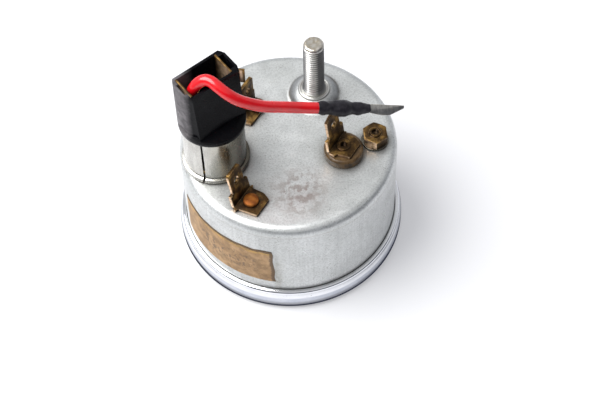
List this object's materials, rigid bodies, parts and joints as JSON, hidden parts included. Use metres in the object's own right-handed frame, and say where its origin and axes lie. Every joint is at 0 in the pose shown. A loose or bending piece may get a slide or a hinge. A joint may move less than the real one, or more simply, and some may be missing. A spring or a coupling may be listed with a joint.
{
  "type": "oil temperature gauge",
  "caption": "Round dashboard oil temperature gauge lying on its face, with mounting stud, spade terminals, pull-out lamp holder and a short lead.",
  "frame": {"origin": "centre of the bezel's front plane, on which the gauge lies", "axes": "+Z out of the back of the case, +Y towards the mounting stud's side, +X to the right in the picture"},
  "size_m": [0.0556, 0.0556, 0.0662],
  "materials": {
    "case_steel": "zinc plated, aged satin",
    "chrome": "polished",
    "clear_glass": "clear",
    "black_rubber": "matt",
    "black_paint": "matt black paint",
    "black_plastic": "satin moulded phenolic",
    "pointer_paint": "off-white paint",
    "brass": "machined",
    "aged_brass": "dark patina",
    "steel": "plain",
    "stud_steel": "worn yellow passivated",
    "tinned_steel": "dull tin",
    "iron": "soft iron",
    "copper": "copper, dull orange",
    "copper_wire": "enamelled copper wire",
    "fibre": "vulcanised fibre",
    "card": "resistance card",
    "phenolic": "brown phenolic",
    "label_paper": "aged kraft paper",
    "red_pvc": "soft PVC",
    "shrink_tube": "matt shrink tube",
    "tinned_brass": "worn tinned brass"
  },
  "bodies": {
    "gauge": {"case": "case_steel", "bezel": "chrome", "glass": "clear_glass", "gasket": "black_rubber", "dial_ring": "black_paint", "dial": "black_paint", "dial_screw_a": "steel", "dial_screw_b": "steel", "spacer_a": "brass", "spacer_b": "brass", "front_plate": "brass", "back_plate": "steel", "pillar_a": "brass", "pillar_b": "brass", "pillar_c": "brass", "pillar_d": "brass", "pivot_post": "brass", "yoke_a": "iron", "yoke_b": "iron", "bobbin_a": "fibre", "bobbin_b": "fibre", "winding_a": "copper_wire", "winding_b": "copper_wire", "core_a": "iron", "core_b": "iron", "ballast_card": "card", "stud": "stud_steel", "stud_collar": "stud_steel", "back_screw": "aged_brass", "nut_washer": "tinned_steel", "brass_nut": "aged_brass", "label": "label_paper", "earth_tab": "aged_brass", "earth_rivet": "copper", "battery_tab": "aged_brass", "battery_rivet": "copper", "sender_tab": "aged_brass", "sender_bush": "phenolic", "inner_bush": "phenolic", "sender_rivet": "aged_brass"},
    "pointer_set": {"pointer": "pointer_paint", "pointer_hub": "black_plastic", "balance_weight": "steel", "spindle": "steel", "armature": "iron"},
    "lamp_holder": {"lamp_sleeve": "tinned_steel", "lamp_cap": "black_plastic", "contact_strip_l": "aged_brass", "contact_strip_r": "aged_brass", "contact_blade": "aged_brass", "contact_plunger": "brass", "bulb_socket": "brass", "solder_joint": "tinned_steel", "lead_wire": "red_pvc", "lead_sleeve": "shrink_tube", "lead_blade": "tinned_brass"},
    "bulb": {"bulb_base": "brass", "bulb_glass": "clear_glass"}
  },
  "joints": [
    {"name": "pointer_turn", "type": "hinge", "parent": "gauge", "child": "pointer_set", "pos_m": [0, 0, 0.02], "axis": [0, 0, 1], "range_deg": [0, 96]},
    {"name": "lamp_pull", "type": "slide", "parent": "gauge", "child": "lamp_holder", "axis": [0, 0, 1], "range_m": [0, 0.024]},
    {"name": "bulb_turn", "type": "hinge", "parent": "lamp_holder", "child": "bulb", "pos_m": [-0.0172, -0.0039, 0.03], "axis": [0, 0, -1], "range_deg": [0, 360]}
  ]
}
